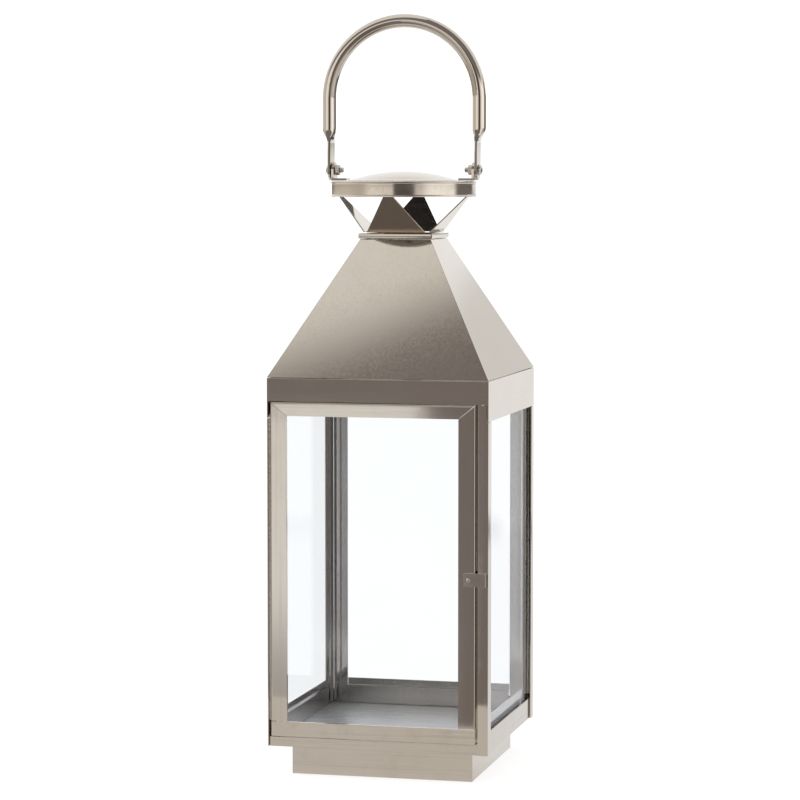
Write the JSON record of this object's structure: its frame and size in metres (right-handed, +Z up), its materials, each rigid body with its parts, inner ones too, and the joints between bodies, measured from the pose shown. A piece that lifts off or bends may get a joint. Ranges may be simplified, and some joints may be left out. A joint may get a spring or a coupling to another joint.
{
  "type": "candle lantern",
  "caption": "Square metal candle lantern with glass sides, a hinged glass door, a hipped roof with a petal vent crown and a swinging bail handle.",
  "frame": {"origin": "middle of the lantern's footprint, on the surface that it stands on", "axes": "+Z up through the roof and handle, -Y out through the glass door, +X to the right seen from the door side"},
  "size_m": [0.17, 0.1723, 0.5762],
  "materials": {
    "polished_steel": "polished stainless steel sheet, warm nickel tone, soft mirror reflections",
    "brushed_steel": "brushed stainless steel sheet, fine straight grain",
    "handle_steel": "polished steel tube",
    "fasteners": "bright plated steel",
    "magnet": "dark ferrite block",
    "clear_glass": "clear float glass, 2 mm"
  },
  "bodies": {
    "lantern_body": {"plinth": "polished_steel", "base_tray": "polished_steel", "post_rear_left": "polished_steel", "post_rear_right": "polished_steel", "post_front_right": "polished_steel", "post_front_left": "polished_steel", "roof_skirt": "polished_steel", "roof_shell": "polished_steel", "neck_collar": "polished_steel", "cap": "polished_steel", "handle_ear_left": "polished_steel", "handle_ear_right": "polished_steel", "vent_petal_front": "polished_steel", "vent_petal_right": "polished_steel", "vent_petal_rear": "polished_steel", "vent_petal_left": "polished_steel", "strip_left_front": "polished_steel", "strip_left_rear": "polished_steel", "strip_left_bottom": "polished_steel", "strip_left_top": "polished_steel", "strip_right_front": "polished_steel", "strip_right_rear": "polished_steel", "strip_right_bottom": "polished_steel", "strip_right_top": "polished_steel", "strip_rear_left": "polished_steel", "strip_rear_right": "polished_steel", "strip_rear_bottom": "polished_steel", "strip_rear_top": "polished_steel", "floor_plate": "brushed_steel", "glass_left": "clear_glass", "glass_right": "clear_glass", "glass_rear": "clear_glass", "pivot_screw_left": "fasteners", "pivot_screw_right": "fasteners", "pivot_nut_left": "fasteners", "pivot_nut_right": "fasteners", "hinge_pin_lower": "fasteners", "hinge_pin_upper": "fasteners", "hinge_bracket": "fasteners", "catch_holder": "fasteners", "catch_magnet": "magnet"},
    "door": {"door_stile_left": "polished_steel", "door_stile_right": "polished_steel", "door_rail_bottom": "polished_steel", "door_rail_top": "polished_steel", "door_pull": "polished_steel", "door_glass": "clear_glass", "hinge_bush_lower": "fasteners", "hinge_bush_upper": "fasteners", "pull_rivet": "fasteners", "door_strike": "fasteners", "glass_clip_lower_left": "fasteners", "glass_clip_lower_right": "fasteners", "glass_clip_upper_left": "fasteners", "glass_clip_upper_right": "fasteners"},
    "handle_bail": {"handle": "handle_steel"}
  },
  "joints": [
    {"name": "door_hinge", "type": "hinge", "parent": "lantern_body", "child": "door", "pos_m": [-0.0794, -0.0814, 0.1574], "axis": [0, 0, -1], "range_deg": [0, 100]},
    {"name": "handle_swing", "type": "hinge", "parent": "lantern_body", "child": "handle_bail", "pos_m": [0, 0, 0.4574], "axis": [1, 0, 0], "range_deg": [-147, 147]}
  ]
}
